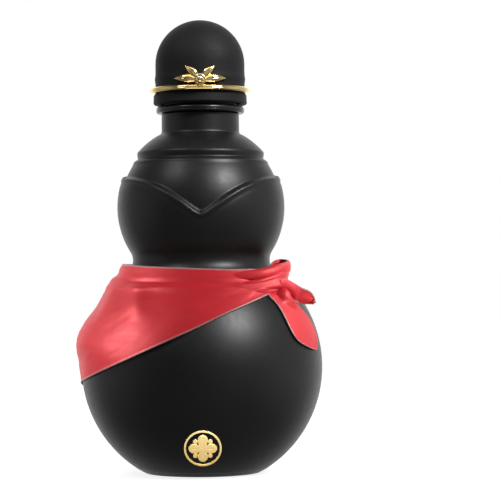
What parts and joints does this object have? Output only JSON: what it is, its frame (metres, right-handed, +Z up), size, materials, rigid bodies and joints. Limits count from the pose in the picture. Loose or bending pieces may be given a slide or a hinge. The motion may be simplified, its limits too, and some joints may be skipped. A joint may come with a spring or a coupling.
{
  "type": "gourd water bottle",
  "caption": "Gourd-shaped double-wall steel water bottle with a domed screw cap, a gold wire hoop with a leaf sprig, and a red satin kerchief tied at its waist.",
  "frame": {"origin": "centre of the rubber foot's underside, on the surface the bottle stands on", "axes": "+Z up along the bottle's axis, -Y towards the front with the V neckline and the emblem, +X to the side of the kerchief's knot"},
  "size_m": [0.1135, 0.1124, 0.208],
  "materials": {
    "body_paint": "satin black powder coat",
    "steel": "brushed",
    "seal_metal": "dull",
    "foot_rubber": "matte",
    "collar_plastic": "semi-gloss",
    "cap_soft": "soft-touch matte",
    "inner_plastic": "moulded",
    "foam": "foam",
    "silicone": "matte",
    "gold": "polished",
    "gold_mark": "satin",
    "satin_cloth": "satin weave"
  },
  "bodies": {
    "bottle": {"lower_shell": "body_paint", "upper_shell": "body_paint", "base_cup": "body_paint", "base_pad": "foot_rubber", "vacuum_plug": "seal_metal", "getter": "seal_metal", "liner_lower": "steel", "liner_upper": "steel", "neck_collar": "collar_plastic", "emblem": "gold_mark"},
    "stopper": {"stopper_cup": "inner_plastic", "stopper_foam": "foam", "stopper_lid": "inner_plastic", "seal_ring": "silicone", "stem_clip": "steel"},
    "cap": {"cap_dome": "cap_soft", "cap_insert": "cap_soft"},
    "hoop": {"hoop_wire": "gold", "hoop_leaves": "gold", "hoop_bead": "gold"},
    "kerchief": {"kerchief_band": "satin_cloth", "kerchief_drape": "satin_cloth", "kerchief_knot": "satin_cloth", "kerchief_tail_long": "satin_cloth", "kerchief_tail_short": "satin_cloth"}
  },
  "joints": [
    {"name": "cap_lift", "type": "slide", "parent": "bottle", "child": "stopper", "axis": [0, 0, 1], "range_m": [0, 0.03]},
    {"name": "cap_turn", "type": "hinge", "parent": "stopper", "child": "cap", "pos_m": [0, 0, 0.18], "axis": [0, 0, 1], "range_deg": [0, 900]},
    {"name": "hoop_turn", "type": "hinge", "parent": "cap", "child": "hoop", "pos_m": [0, 0, 0.1753], "axis": [0, 0, 1], "continuous": true},
    {"name": "kerchief_turn", "type": "hinge", "parent": "bottle", "child": "kerchief", "pos_m": [0, 0, 0.09], "axis": [0, 0, 1], "continuous": true}
  ],
  "couplings": [
    {"joint": "cap_lift", "follows": "cap_turn", "m_per_rad": 0.0019099}
  ]
}
